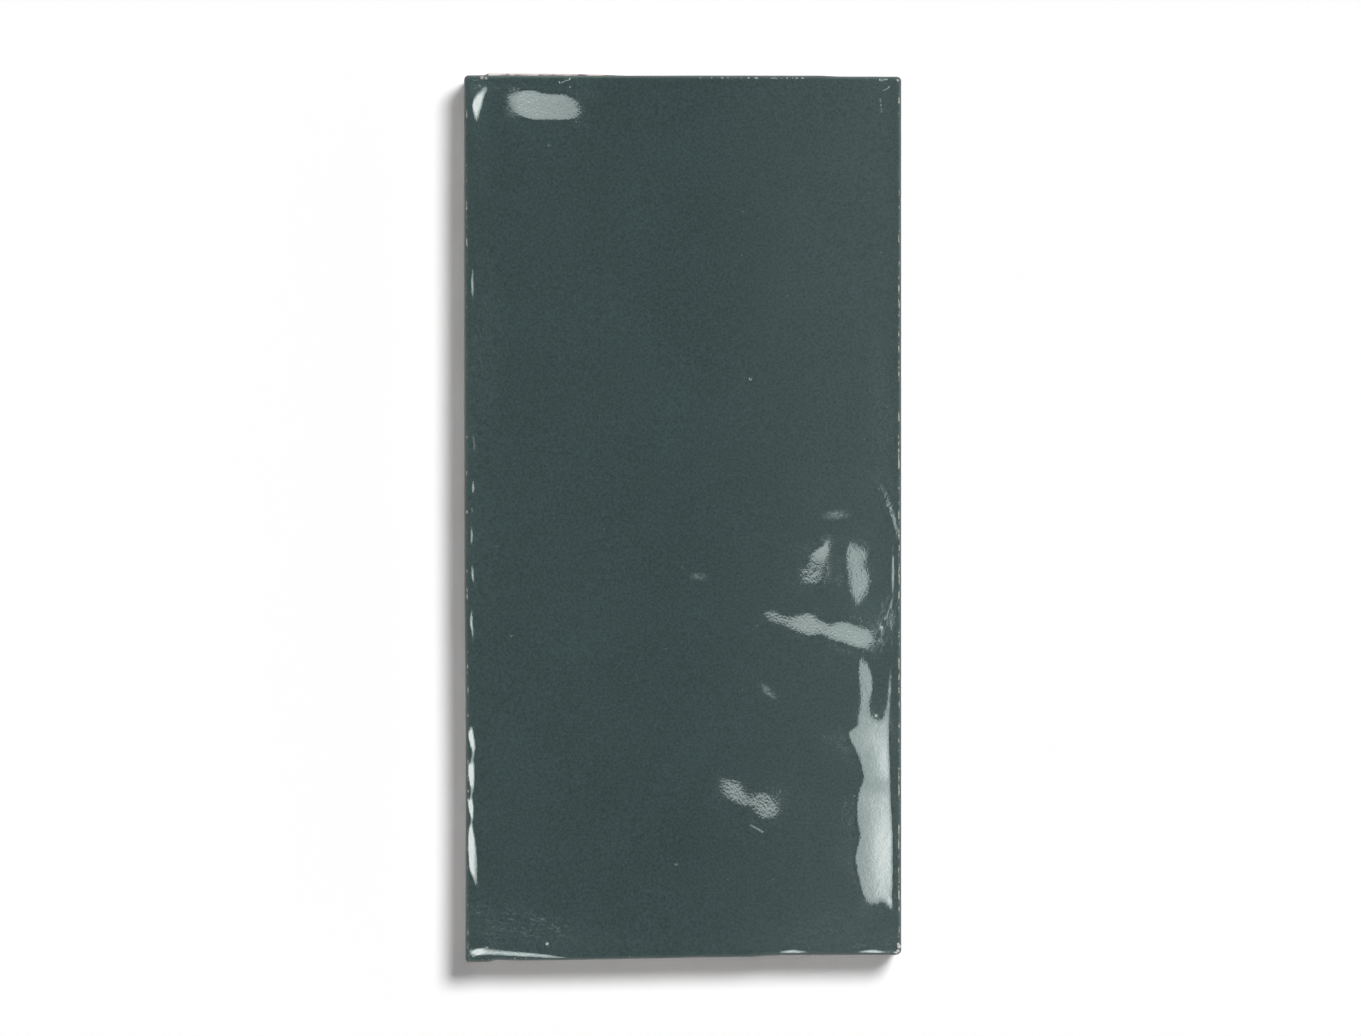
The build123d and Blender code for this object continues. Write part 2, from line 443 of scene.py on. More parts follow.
def allowed_slopes(lean_x, lean_y, targets, on_tile):
    """The nearest slopes that keep the face calm outside its gleams and leaning within them."""
    calm_x = np.where(on_tile, np.clip(lean_x, -CALM - WEST_SHIFT, CALM + EAST_SHIFT), lean_x)
    calm_y = np.where(on_tile, np.clip(lean_y, -CALM - SOUTH_SHIFT, STEEP_NORTH), lean_y)
    for part, near, toward, reached, inside in targets:
        fields = (calm_x, calm_y, lean_x, lean_y) if toward[0] else (calm_y, calm_x, lean_y, lean_x)
        main, side, lean_main, lean_side = (values[part] for values in fields)
        sign = sum(toward)
        outside = near & ~inside
        main[outside] = sign * np.maximum(sign * main, np.minimum(sign * lean_main, reached))[outside]
        main[inside] = sign * reached[inside]
        side[inside] = np.clip(lean_side, -ACROSS, NORTH_ACROSS if toward[0] else ACROSS)[inside]
    return calm_x, calm_y


def solve_face():
    """Bends the slow relief until it leans as the gleams say and is calm elsewhere."""
    targets = gleams()
    base = slow_relief()
    wave_x = 2 * np.cos(2 * np.pi * np.fft.fftfreq(GRID_X.shape[0])) - 2
    wave_y = 2 * np.cos(2 * np.pi * np.fft.rfftfreq(GRID_X.shape[1])) - 2
    stiffness = (wave_x[:, None] + wave_y[None, :]) / FIELD_SPACING**2
    pull = 1 / BASE_PULL_MM**2
    base_waves = np.fft.rfft2(base)
    on_tile = (GRID_X > LEFT) & (GRID_X < RIGHT) & (GRID_Y > BOTTOM) & (GRID_Y < TOP)
    height = base.copy()
    for turn in range(SOLVE_ROUNDS):
        lean_x, lean_y = slopes(height)
        calm_x, calm_y = allowed_slopes(lean_x, lean_y, targets, on_tile)
        if turn < SOLVE_ROUNDS - SETTLING_ROUNDS:
            calm_x = lean_x + HASTE * (calm_x - lean_x)
            calm_y = lean_y + HASTE * (calm_y - lean_y)
        spread = np.roll(calm_x, 1, 0) - calm_x + np.roll(calm_y, 1, 1) - calm_y
        spread_waves = np.fft.rfft2(spread / FIELD_SPACING)
        height = np.fft.irfft2((spread_waves - pull * base_waves) / (stiffness - pull), s=GRID_X.shape)
    height += band_noise(23, *FINE_WAVES, WAVE_SLOPE)
    return height - height[on_tile].mean()


def field_sampler(field):
    """A function that reads the field at any place, straight between its cells."""
    def read(x, y):
        column = np.clip((x - FIELD_X[0]) / FIELD_SPACING, 0, len(FIELD_X) - 1.001)
        row = np.clip((y - FIELD_Y[0]) / FIELD_SPACING, 0, len(FIELD_Y) - 1.001)
        i = column.astype(int)
        j = row.astype(int)
        u = column - i
        v = row - j
        near = field[i, j] * (1 - v) + field[i, j + 1] * v
        far = field[i + 1, j] * (1 - v) + field[i + 1, j + 1] * v
        return near * (1 - u) + far * u
    return read


# The outline

def graded_shares(start_px, end_px, spacing, fine):
    """Shares from 0 to 1 along a line of pixels, closer together in the fine zones."""
    ticks = np.linspace(start_px, end_px, SPACING_TICKS + 1)
    density = np.full(ticks.shape, 1 / spacing)
    for zone_start, zone_end, zone_spacing in fine:
        density[(ticks > zone_start) & (ticks < zone_end)] = 1 / zone_spacing
    window = np.ones(2 * BLEND_TICKS + 1) / (2 * BLEND_TICKS + 1)
    density = np.convolve(np.pad(density, BLEND_TICKS, "edge"), window, "valid")
    amount = np.concatenate([[0], np.cumsum((density[1:] + density[:-1]) / 2)])
    amount *= (end_px - start_px) / SPACING_TICKS / PX_PER_MM
    count = round(amount[-1])
    return np.interp(np.linspace(0, amount[-1], count + 1), amount, np.linspace(0, 1, len(ticks)))


def inset_corners(inset):
    """The outline's sharp corners, drawn in."""
    signs = [(1, -1), (-1, -1), (-1, 1), (1, 1)]
    return [np.array((x + inset * a, y + inset * b)) for (x, y), (a, b) in zip(CORNERS, signs)]


def corner_arc(before, corner, after, radius, points=17):
    """The arc that rounds a corner, as an odd number of points."""
    back = (before - corner) / np.linalg.norm(before - corner)
    on = (after - corner) / np.linalg.norm(after - corner)
    half_angle = math.acos(np.clip(back @ on, -1, 1)) / 2
    middle = corner + (back + on) / np.linalg.norm(back + on) * radius / math.sin(half_angle)
    start = corner + back * radius / math.tan(half_angle) - middle
    end = corner + on * radius / math.tan(half_angle) - middle
    turn = math.pi - 2 * half_angle
    steps = np.linspace(0, turn, points)[:, None]
    return middle + (start * np.sin(turn - steps) + end * np.sin(steps)) / math.sin(turn)


def side_values(points, side, table):
    """The table's values at points of one side, by their place along it in pixels."""
    if side in (0, 2):
        along = points[:, 0] * PX_PER_MM + TILE_MIDDLE_PX[0]
    else:
        along = TILE_MIDDLE_PX[1] - points[:, 1] * PX_PER_MM
    places, values = zip(*table)
    return np.interp(along, places, values)


OUTWARD = [(0, 1), (1, 0), (0, -1), (-1, 0)]
BOWS = [TOP_BOW, RIGHT_BOW, FOOT_BOW, LEFT_BOW]
WEARS = [TOP_WEAR, RIGHT_WEAR, FOOT_WEAR, LEFT_WEAR]


class Outline:
    """The rounded, bowed outline, with points that match the edge of the face's grid."""

    def __init__(self, columns, rows):
        self.shares = [columns, 1 - rows[::-1], 1 - columns[::-1], rows]

    def ring(self, inset, body=False):
        """The outline drawn in by some mm, of the glaze or of the body under it."""
        corners = inset_corners(inset)
        parts = []
        for side in range(4):
            before, start, end, after = (corners[(side + k) % 4] for k in (-1, 0, 1, 2))
            first = corner_arc(before, start, end, CORNER_RADII[side])
            last = corner_arc(start, end, after, CORNER_RADII[(side + 1) % 4])
            half = len(first) // 2
            path = np.concatenate([first[half:], last[:half + 1]])
            lengths = np.concatenate([[0], np.cumsum(np.hypot(*np.diff(path, axis=0).T))])
            wanted = self.shares[side][:-1] * lengths[-1]
            points = np.stack([np.interp(wanted, lengths, path[:, axis]) for axis in (0, 1)], 1)
            bow = side_values(points, side, BOWS[side])
            if body and side == 0:
                bow = bow + side_values(points, side, LIP)
            parts.append(points + bow[:, None] / PX_PER_MM * np.array(OUTWARD[side]))
        return np.concatenate(parts)

    def values(self, tables):
        """Values of one table for each side, at the ring's points."""
        ring = self.ring(0.0)
        starts = np.cumsum([0] + [len(shares) - 1 for shares in self.shares])
        parts = [ring[start:end] for start, end in zip(starts, starts[1:])]
        return np.concatenate([side_values(part, side, tables[side]) for side, part in enumerate(parts)])


def smooth_ring_noise(count, seed):
    """Slow random values round a ring, from about -1 to 1."""
    random = np.random.default_rng(seed)
    spectrum = np.fft.rfft(random.standard_normal(count))
    waves = np.arange(len(spectrum))
    spectrum *= np.exp(-((waves / GLAZE_RUN_WAVES) ** 2))
    values = np.fft.irfft(spectrum, count)
    return np.tanh(values / values.std() / 1.5)


def glaze_depths(outline, count):
    """How far down the sides the glaze runs, in mm. Where the body shows it stops at the arris."""
    none = [(0, 0), (1000, 0)]
    lip = np.clip(outline.values([LIP, none, none, none]), 0, 1)
    run = GLAZE_RUN + GLAZE_RUN_SWING * smooth_ring_noise(count, 5)
    return run * (1 - lip) + ARRIS_DROP * lip


# The mesh

class Shell:
    """Collects the mesh's points, faces and the values that its material reads."""

    def __init__(self):
        self.points = []
        self.faces = []
        self.values = {"edge_gap": [], "below_glaze": [], "wear": []}
        self.count = 0

    def add(self, plan, z, edge_gap, below_glaze, wear=0.0):
        """Adds points and returns their numbers."""
        size = len(plan)
        self.points.append(np.column_stack([plan, np.broadcast_to(z, size)]))
        for name, value in (("edge_gap", edge_gap), ("below_glaze", below_glaze), ("wear", wear)):
            self.values[name].append(np.broadcast_to(value, size))
        self.count += size
        return list(range(self.count - size, self.count))

    def stitch(self, first, second):
        """Joins two rings of as many points."""
        for k in range(len(first)):
            n = (k + 1) % len(first)
            self.faces.append((first[k], first[n], second[n], second[k]))

    def grow(self, ring, plan, z, edge_gap, below_glaze, wear=0.0):
        """Adds a ring of points joined to the last one."""
        following = self.add(plan, z, edge_gap, below_glaze, wear)
        self.stitch(ring, following)
        return following


def add_face(shell, read_face):
    """The face inside its rim, and its edge as a clockwise ring."""
    rim = RIM_ZONE * PX_PER_MM
    inward = [(rim, rim), (-rim, rim), (-rim, -rim), (rim, -rim)]
    corners_px = [(x + dx, y + dy) for (x, y), (dx, dy) in zip(CORNERS_PX, inward)]
    columns = graded_shares(corners_px[0][0], corners_px[1][0], COLUMN_SPACING, FINE_COLUMNS)
    rows = 1 - graded_shares(corners_px[0][1], corners_px[3][1], ROW_SPACING, FINE_ROWS)[::-1]
    top_left, top_right, bottom_right, bottom_left = (np.array(spot(*corner)) for corner in corners_px)
    u = columns[:, None, None]
    v = rows[None, :, None]
    upper = top_left * (1 - u) + top_right * u
    lower = bottom_left * (1 - u) + bottom_right * u
    plan = (lower * (1 - v) + upper * v).reshape(-1, 2)
    shell.add(plan, CROWN + read_face(plan[:, 0], plan[:, 1]), RIM_ZONE, -CROWN)
    last_column, last_row = len(columns) - 1, len(rows) - 1
    stride = len(rows)
    for i in range(last_column):
        at = i * stride
        shell.faces += [(at + j, at + stride + j, at + stride + j + 1, at + j + 1) for j in range(last_row)]
    edge = [(i, last_row) for i in range(last_column)]
    edge += [(last_column, j) for j in range(last_row, 0, -1)]
    edge += [(i, 0) for i in range(last_column, 0, -1)]
    edge += [(0, j) for j in range(last_row)]
    ring = [i * stride + j for i, j in edge]
    return ring, plan[ring], Outline(columns, rows)


def add_rim(shell, ring, inner, outline, read_face):
    """The rim of the face, the arris and the sides, down to the back."""
    outer = outline.ring(0.0)
    wear = outline.values(WEARS)
    glaze_depth = glaze_depths(outline, len(outer))
    for gap in RIM_STEPS:
        share = 1 - gap / RIM_ZONE
        plan = inner * (1 - share) + outer * share
        z = CROWN + read_face(plan[:, 0], plan[:, 1])
        ring = shell.grow(ring, plan, z, gap, -CROWN, wear)
    crease, crease_plan, crease_z = ring, plan, z
    start = math.radians(ARRIS_START_DEG)
    radius = ARRIS_RUN / (1 - math.sin(start))
    for step in range(1, ARRIS_STEPS + 1):
        angle = start + (math.pi / 2 - start) * step / ARRIS_STEPS
        out = radius * (math.sin(angle) - math.sin(start))
        drop = radius * (math.cos(start) - math.cos(angle))
        plan = crease_plan + (outer - crease_plan) * out / ARRIS_RUN
        ring = shell.grow(ring, plan, crease_z - drop, ARRIS_RUN - out, drop - glaze_depth, wear)
    arris_z = crease_z - drop
    sides = [(arris_z * (1 - share) + BRIM * share, 0.0) for share in (0.07, 0.4, 0.7, 1.0)]
    sides += [(BRIM * (1 - share) + BACK_BEVEL * share, SIDE_INSET * share) for share in (0.3, 0.65, 1.0)]
    for z, inset in sides:
        plan = outline.ring(inset, True)
        ring = shell.grow(ring, plan, z, z - arris_z, crease_z - z - glaze_depth, wear)
    for share in (0.35, 0.7, 1.0):
        plan = outline.ring(SIDE_INSET + BACK_BEVEL / 2 * share, True)
        ring = shell.grow(ring, plan, BACK_BEVEL * (1 - share) ** 1.5, -CROWN, CROWN)
    return crease, ring, plan


def key_places():
    """For each key of the back: its middle and its half width and length at the mouth."""
    pitch_x = (RIGHT - LEFT - 2 * KEY_BORDER + KEY_RIB) / KEY_COLUMNS
    pitch_y = (TOP - BOTTOM - 2 * KEY_BORDER + KEY_RIB) / KEY_ROWS
    places = []
    for column in range(KEY_COLUMNS):
        for row in range(KEY_ROWS):
            x = (column - (KEY_COLUMNS - 1) / 2) * pitch_x
            y = (row - (KEY_ROWS - 1) / 2) * pitch_y
            places.append((x, y, (pitch_x - KEY_RIB) / 2, (pitch_y - KEY_RIB) / 2))
    return places


def rounded_ring(x, y, half_x, half_y, radius, per_corner=5):
    """A rounded rectangle, anticlockwise."""
    ring = []
    for corner, (a, b) in enumerate([(1, 1), (-1, 1), (-1, -1), (1, -1)]):
        for step in range(per_corner):
            angle = math.pi / 2 * (corner + step / (per_corner - 1))
            ring.append((x + a * (half_x - radius) + radius * math.cos(angle),
                         y + b * (half_y - radius) + radius * math.sin(angle)))
    return ring


def in_a_key(middle, places):
    """Whether a point of the back lies in the mouth of a key."""
    return any(abs(middle.x - x) < half_x and abs(middle.y - y) < half_y for x, y, half_x, half_y in places)


def add_back(shell, back_ring, back_plan):
    """The flat back with its keys."""
    places = key_places()
    around = len(back_ring)
    border = [Vector(point) for point in back_plan]
    edges = [(k, (k + 1) % around) for k in range(around)]
    numbers = list(back_ring)
    mouths = []
    for x, y, half_x, half_y in places:
        ring = rounded_ring(x, y, half_x, half_y, KEY_CORNER)
        first = len(border)
        border += [Vector(point) for point in ring]
        edges += [(first + k, first + (k + 1) % len(ring)) for k in range(len(ring))]
        mouths.append(shell.add(np.array(ring), 0.0, RIM_ZONE, CROWN))
        numbers += mouths[-1]
    flat, _, triangles, source, _, _ = delaunay_2d_cdt(border, edges, [], 1, 1e-6)
    for triangle in triangles:
        middle = sum((Vector(flat[k]) for k in triangle), Vector((0, 0))) / len(triangle)
        if not in_a_key(middle, places):
            shell.faces.append(tuple(numbers[source[k][0]] for k in reversed(triangle)))
    slant = KEY_DEPTH * math.tan(math.radians(KEY_WALL_DEG))
    for ring, (x, y, half_x, half_y) in zip(mouths, places):
        for share, depth in ((0.12, 0.18), (0.85, 0.88), (1.0, 1.0)):
            level = rounded_ring(x, y, half_x - slant * share, half_y - slant * share, KEY_CORNER)
            following = shell.add(np.array(level), KEY_DEPTH * depth, RIM_ZONE, CROWN)
            shell.stitch(following, ring)
            ring = following
        shell.faces.append(tuple(reversed(ring)))


def new_object(name, data):
    """An object of the scene."""
    made = bpy.data.objects.new(name, data)
    bpy.context.scene.collection.objects.link(made)
    return made


def build_tile():
    """The tile as one closed mesh."""
    read_face = field_sampler(solve_face())
    shell = Shell()
    ring, inner, outline = add_face(shell, read_face)
    crease, back_ring, back_plan = add_rim(shell, ring, inner, outline, read_face)
    add_back(shell, back_ring, back_plan)
    mesh = bpy.data.meshes.new("glazed_tile")
    mesh.from_pydata((np.concatenate(shell.points) * MM).tolist(), [], shell.faces)
    mesh.polygons.foreach_set("use_smooth", np.ones(len(mesh.polygons), bool))
    for name, values in shell.values.items():
        layer = mesh.attributes.new(name, "FLOAT", "POINT")
        layer.data.foreach_set("value", np.concatenate(values).astype(np.float32))
    mesh.set_sharp_from_angle(angle=math.radians(SHARP_DEG))
    pairs = {frozenset(pair) for pair in zip(crease, crease[1:] + crease[:1])}
    for edge in mesh.edges:
        if frozenset(edge.vertices) in pairs:
            edge.use_edge_sharp = True
    mesh.update()
    return new_object("glazed_tile", mesh)


# Materials

class Nodes:
    """Short calls to build a node tree."""

    def __init__(self, owner):
        owner.use_nodes = True
        self.tree = owner.node_tree
        self.tree.nodes.clear()

    def add(self, kind, settings=None, **inputs):
        node = self.tree.nodes.new(kind)
        for name, value in (settings or {}).items():
            setattr(node, name, value)
        for name, value in inputs.items():
            self.put(node.inputs[name.replace("_", " ")], value)
        return node

    def put(self, socket, value):
        if isinstance(value, bpy.types.NodeSocket):
            self.tree.links.new(value, socket)
        else:
            socket.default_value = value

    def math(self, operation, first, second=0.0, third=0.0):
        node = self.add("ShaderNodeMath", {"operation": operation})
        for socket, value in zip(node.inputs, (first, second, third)):
            self.put(socket, value)
        return node.outputs[0]

    def times(self, first, second, plus=None):
        """The product of two values, with a third added to it if there is one."""
        if plus is None:
            return self.math("MULTIPLY", first, second)
        return self.math("MULTIPLY_ADD", first, second, plus)

    def vector(self, operation, first, second=None, output=0):
        node = self.add("ShaderNodeVectorMath", {"operation": operation})
        self.put(node.inputs[0], first)
        if second is not None:
            self.put(node.inputs[3] if operation == "SCALE" else node.inputs[1], second)
        return node.outputs[output]

    def ramp(self, value, start, end, low=0.0, high=1.0):
        """A smooth step of the value from low at start to high at end."""
        node = self.add("ShaderNodeMapRange", {"interpolation_type": "SMOOTHSTEP"}, Value=value,
                        From_Min=start, From_Max=end, To_Min=low, To_Max=high)
        return node.outputs[0]

    def blend(self, share, first, second):
        """A mix of two colours."""
        node = self.add("ShaderNodeMix", {"data_type": "RGBA"})
        self.put(node.inputs[0], share)
        self.put(node.inputs[6], first)
        self.put(node.inputs[7], second)
        return node.outputs[2]

    def noise(self, place, size_mm, detail=2.0, roughness=0.5, distortion=0.0):
        """Noise with features of about the given size."""
        node = self.add("ShaderNodeTexNoise", Vector=place, Scale=1 / (size_mm * MM),
                        Detail=detail, Roughness=roughness, Distortion=distortion)
        return node.outputs["Fac"]

    def attribute(self, name):
        return self.add("ShaderNodeAttribute", {"attribute_name": name}).outputs["Fac"]

    def mapped(self, place, middle, turn_deg, scale):
        """A place as counted from a middle, along turned axes, in units of a scale."""
        mapping = self.add("ShaderNodeMapping", {"vector_type": "TEXTURE"}, Vector=place)
        mapping.inputs["Location"].default_value = middle
        mapping.inputs["Rotation"].default_value = (0, 0, math.radians(turn_deg))
        mapping.inputs["Scale"].default_value = scale
        return mapping.outputs[0]

    def patch(self, flat_place, px, py, reach_x, reach_y, turn_deg=0.0):
        """A soft oval patch round a pixel of the photograph, with reaches in pixels."""
        x, y = spot(px, py)
        reaches = (reach_x / PX_PER_MM * MM, reach_y / PX_PER_MM * MM, 1)
        near = self.mapped(flat_place, (x * MM, y * MM, 0), turn_deg, reaches)
        return self.ramp(self.vector("LENGTH", near, output=1), 1.0, 0.0)

    def rounded(self, gap, radius_px):
        """1 where there is no gap, falling in a round curve to 0 at a radius in pixels."""
        share = self.math("DIVIDE", gap, radius_px / PX_PER_MM * MM)
        return self.math("MAXIMUM", self.math("SUBTRACT", 1.0, self.times(share, share)), 0.0)

    def capsule(self, flat_place, start_px, end_px, radius_px):
        """A round ridge between two pixels of the photograph: 1 on its line and 0 from its radius."""
        start = Vector((*spot(*start_px), 0)) * MM
        run = Vector((*spot(*end_px), 0)) * MM - start
        offset = self.vector("SUBTRACT", flat_place, tuple(start))
        along = self.math("DIVIDE", self.vector("DOT_PRODUCT", offset, tuple(run), 1), run.length_squared)
        along = self.math("MINIMUM", self.math("MAXIMUM", along, 0.0), 1.0)
        gap = self.vector("DISTANCE", offset, self.vector("SCALE", tuple(run), along), 1)
        return self.rounded(gap, radius_px)

    def stretched(self, flat_place, turn_deg, times):
        """A place in which noise is drawn out along a direction."""
        return self.mapped(flat_place, (0, 0, 0), turn_deg, (times, 1, 1))

    def dome(self, flat_place, px, py, radius_px):
        """1 at a pixel of the photograph, falling to 0 at a radius in pixels."""
        middle = Vector((*spot(px, py), 0)) * MM
        return self.rounded(self.vector("DISTANCE", flat_place, tuple(middle), 1), radius_px)


GLAZE = (0.0369, 0.0599, 0.0595)
GLAZE_THIN = (0.085, 0.14, 0.128, 1.0)
GLAZE_BROKEN = (0.15, 0.125, 0.12, 1.0)
# Colour of dust, also used for the painted highlights of faint gleams.
DUST_AND_SHEEN = (0.26, 0.33, 0.31, 1.0)
CLAY = (0.61, 0.58, 0.572, 1.0)
CLAY_DARK = (0.46, 0.405, 0.39, 1.0)
FLOOR_WHITE = (0.934, 0.934, 0.934, 1.0)

# Roughness of the glaze, what is added at the arris and by dust and painted highlights, and that of the
# body.
GLAZE_ROUGHNESS = 0.085
ARRIS_ROUGHNESS = 0.35
DUST_AND_SHEEN_ROUGHNESS = 0.2
CLAY_ROUGHNESS = 0.85

# Depth of the glaze's ripple, in mm.
GLAZE_RIPPLE = 0.0095

# Soft lighter patches of the glaze: a pixel, reaches in pixels and the gain in tone.
LIGHT_PATCHES = [
    (862, 600, 52, 110, 0.16), (478, 92, 26, 60, 0.28), (500, 930, 90, 60, 0.04), (466, 520, 15, 430, 0.12),
    (650, 835, 140, 110, -0.06),
]

# Painted highlights of faint gleams, lighter patches of colour: a pixel, reaches in pixels, a turn in
# degrees and their share.
PAINTED_GLEAMS = [
    (836, 514.5, 19, 7, 5, 0.5), (767, 690.5, 17, 5.5, -40, 0.5), (698, 576, 11, 5.5, 0, 0.4),
    (826, 540, 9, 9, 0, 0.3),
]

# Patches where a finer ripple frays the gleams: a pixel, reaches in pixels, the turn of its strokes
# from X in degrees, how many times they are drawn out and their depth in mm.
COMBED_PATCHES = [
    (812, 575, 24, 20, -60, 1.9, 0.025), (857, 572, 28, 56, 0, 1.3, 0.013),
    (766, 806, 30, 28, -60, 1.5, 0.024), (732, 791, 26, 28, -60, 1.5, 0.016),
    (818, 629, 105, 50, 80, 1.15, 0.012), (772, 616, 20, 15, 110, 1.2, 0.008),
    (545, 105, 66, 42, 80, 1.0, 0.009), (864, 688, 24, 64, 0, 1.1, 0.011),
    (857, 810, 9, 160, 0, 1.0, 0.008), (889, 508, 14, 40, 10, 1.5, 0.02),
]


def glaze_colour(n, place, flat, gap):
    """Deep petrol green, grainy, lighter where the glaze runs thin."""
    grain = n.math("SUBTRACT", n.noise(place, 0.38, 1.0), 0.5)
    cloud = n.math("SUBTRACT", n.noise(place, 13.0, 4.0), 0.5)
    tone = n.times(grain, 1.08, 1.0)
    tone = n.times(cloud, 0.22, tone)
    for px, py, reach_x, reach_y, gain in LIGHT_PATCHES:
        tone = n.times(n.patch(flat, px, py, reach_x, reach_y), gain, tone)
    glaze = n.vector("SCALE", GLAZE, tone)
    ragged = n.times(n.math("SUBTRACT", n.noise(place, 2.2), 0.5), 0.9)
    thin = n.ramp(n.math("ADD", n.ramp(gap, 1.3, 0.0), ragged), 0.25, 1.2)
    glaze = n.blend(n.times(thin, 0.4), glaze, GLAZE_THIN)
    broken = n.ramp(n.math("ABSOLUTE", gap), 0.16, 0.02)
    return n.blend(n.times(broken, 0.85), glaze, GLAZE_BROKEN)


def dust_and_sheen_share(n, place, flat):
    """Dust, smears and rubs that lift the glaze's tone a little, painted highlights where faint gleams
    show, and a lift of tone that grows to the right.
    """
    cells = n.add("ShaderNodeTexVoronoi", Vector=place, Scale=1 / (2.6 * MM))
    pick = n.add("ShaderNodeSeparateXYZ", Vector=cells.outputs["Color"]).outputs[0]
    dots = n.times(n.ramp(cells.outputs["Distance"], 0.055, 0.03), n.ramp(pick, 0.62, 0.9))
    smear = n.ramp(n.noise(n.stretched(flat, 71, 4), 0.5, 3.0, 0.7, 0.6), 0.46, 0.75)
    smear = n.times(smear, n.patch(flat, 884, 622, 13, 46, -17))
    rub = n.ramp(n.noise(n.stretched(flat, -12, 3.3), 0.42, 3.0, 0.75, 0.8), 0.53, 0.7)
    corner = n.math("MAXIMUM", n.patch(flat, 525, 925, 70, 26, -8), n.patch(flat, 477, 909, 12, 16))
    corner = n.math("MAXIMUM", corner, n.times(n.patch(flat, 476, 84, 14, 12), 1.5))
    along = n.add("ShaderNodeSeparateXYZ", Vector=flat).outputs[0]
    # The tone is lifted a little more towards the right.
    share = n.ramp(along, -2 * MM, 31 * MM, 0.0, 0.05)
    share = n.times(smear, 0.9, share)
    share = n.times(dots, 0.35, share)
    fleck = n.ramp(n.noise(n.stretched(flat, 15, 1.8), 0.4, 2.0), 0.3, 0.68)
    # Painted highlights: the faint gleams are lightened into the colour, mottled by the fleck noise.
    for px, py, reach_x, reach_y, turn_deg, amount in PAINTED_GLEAMS:
        painted_gleam = n.times(fleck, n.patch(flat, px, py, reach_x, reach_y, turn_deg))
        share = n.times(painted_gleam, amount, share)
    return n.times(n.times(rub, corner), 0.42, share)


def bare_share(n, place, flat, gap):
    """Where the body shows: below the glaze, along worn edges and in chips."""
    ragged = n.times(n.math("SUBTRACT", n.noise(place, 1.1, 3.0), 0.5), 0.5)
    bare = n.ramp(n.math("ADD", n.attribute("below_glaze"), ragged), -0.05, 0.05)
    line = n.times(n.ramp(gap, 0.56, 0.48), n.ramp(gap, 0.28, 0.36))
    needed = n.times(n.attribute("wear"), -0.26, 0.745)
    come_and_go = n.times(n.noise(place, 4.0, 2.0), 0.16, -0.08)
    worn = n.math("ADD", n.noise(n.stretched(place, 90, 2.6), 0.5, 3.0, 0.65), come_and_go)
    worn = n.ramp(n.math("SUBTRACT", worn, needed), 0.0, 0.05)
    bare = n.math("MAXIMUM", bare, n.times(n.times(line, worn), 0.62))
    for px, py, radius, amount in CHIPS:
        chip = n.ramp(n.dome(flat, px, py, radius * 1.3), 0.2, 0.6)
        bare = n.math("MAXIMUM", bare, n.times(chip, amount))
    return bare


def glaze_relief(n, place, flat):
    """Height of the glaze's finest relief, in mm."""
    relief = n.times(n.noise(place, 0.3, 1.0), GLAZE_RIPPLE)
    for px, py, reach_x, reach_y, turn_deg, times, height in COMBED_PATCHES:
        comb = n.times(n.noise(n.stretched(flat, turn_deg, times), 0.38, 0.5), height)
        relief = n.times(comb, n.patch(flat, px, py, reach_x, reach_y), relief)
    for start_x, start_y, end_x, end_y, half, height in RIDGES:
        ridge = n.capsule(flat, (start_x, start_y), (end_x, end_y), half)
        relief = n.times(ridge, height, relief)
    for px, py, radius, height in GRAINS:
        relief = n.times(n.dome(flat, px, py, radius), height, relief)
    return relief


def glaze_material():
    """Gloss glaze over pale fired clay."""
    material = bpy.data.materials.new("glazed_ceramic")
    n = Nodes(material)
    place = n.add("ShaderNodeTexCoord").outputs["Object"]
    flat = n.vector("MULTIPLY", place, (1.0, 1.0, 0.0))
    gap = n.attribute("edge_gap")
    off_arris = n.math("ABSOLUTE", gap)
    grain = n.noise(place, 0.35, 4.0, 0.7)
    clay = n.blend(n.ramp(n.noise(place, 5.0, 4.0, 0.6), 0.35, 0.7), CLAY, CLAY_DARK)
    clay = n.blend(n.times(n.ramp(grain, 0.55, 0.75), 0.35), clay, CLAY_DARK)
    # Dust, and painted highlights where faint gleams show, lighten the glaze and roughen it.
    dust_and_sheen = dust_and_sheen_share(n, place, flat)
    colour = n.blend(dust_and_sheen, glaze_colour(n, place, flat, gap), DUST_AND_SHEEN)
    roughness = n.times(n.ramp(off_arris, 0.2, 0.03), ARRIS_ROUGHNESS, GLAZE_ROUGHNESS)
    roughness = n.times(dust_and_sheen, DUST_AND_SHEEN_ROUGHNESS, roughness)
    glaze_bump = n.add("ShaderNodeBump", Strength=1.0, Distance=MM, Height=glaze_relief(n, place, flat))
    clay_bump = n.add("ShaderNodeBump", Strength=0.8, Distance=0.12 * MM, Height=grain)
    mottle = n.times(n.noise(place, 0.45, 1.0), 0.24, 0.88)
    gloss = n.times(n.ramp(off_arris, 0.02, 0.2, 0.12, 0.5), mottle)
    glaze_shader = n.add("ShaderNodeBsdfPrincipled", Base_Color=colour, Roughness=roughness, IOR=1.52,
                         Normal=glaze_bump.outputs[0], Specular_IOR_Level=gloss)
    clay_shader = n.add("ShaderNodeBsdfPrincipled", Base_Color=clay, Roughness=CLAY_ROUGHNESS, IOR=1.45,
                        Normal=clay_bump.outputs[0])
    mix = n.add("ShaderNodeMixShader", Fac=bare_share(n, place, flat, gap))
    n.put(mix.inputs[1], glaze_shader.outputs[0])
    n.put(mix.inputs[2], clay_shader.outputs[0])
    n.add("ShaderNodeOutputMaterial", Surface=mix.outputs[0])
    return material


def floor_material():
    """A plain white sheet."""
    material = bpy.data.materials.new("white_sheet")
    n = Nodes(material)
    shader = n.add("ShaderNodeBsdfDiffuse", Color=FLOOR_WHITE)
    n.add("ShaderNodeOutputMaterial", Surface=shader.outputs[0])
    return material


# The studio: lengths in metres, and lights as shares of what makes a white floor white

